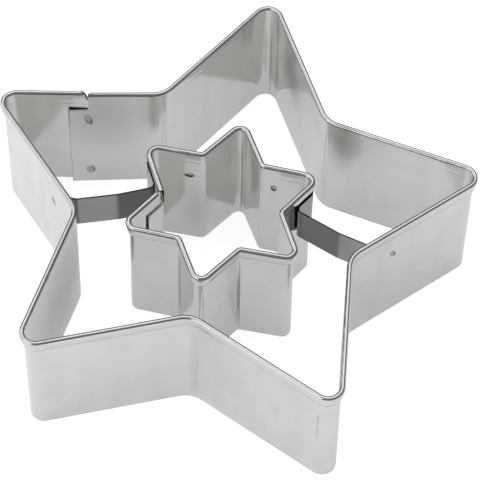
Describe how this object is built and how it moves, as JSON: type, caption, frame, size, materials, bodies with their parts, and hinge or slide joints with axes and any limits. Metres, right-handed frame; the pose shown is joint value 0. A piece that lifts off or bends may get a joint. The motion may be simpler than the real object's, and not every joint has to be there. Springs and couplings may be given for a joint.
{
  "type": "cookie cutter",
  "caption": "Star-shaped tinplate cookie cutter with a smaller star cutter held inside it by strips, which cuts a star of dough with a star-shaped window.",
  "frame": {"origin": "middle of the cutter's box, on the surface that its cutting edges stand on", "axes": "+Z from the cutting edges to the folded rims, +Y along the back arm of the outer star, +X to the right as seen from the front"},
  "size_m": [0.0862, 0.0824, 0.025],
  "materials": {
    "outer_band": "bright tinplate",
    "inner_band": "bright tinplate",
    "left_strip": "bright tinplate",
    "right_strip": "bright tinplate"
  },
  "bodies": {
    "root": {"outer_band": "outer_band", "inner_band": "inner_band", "left_strip": "left_strip", "right_strip": "right_strip"}
  },
  "joints": []
}
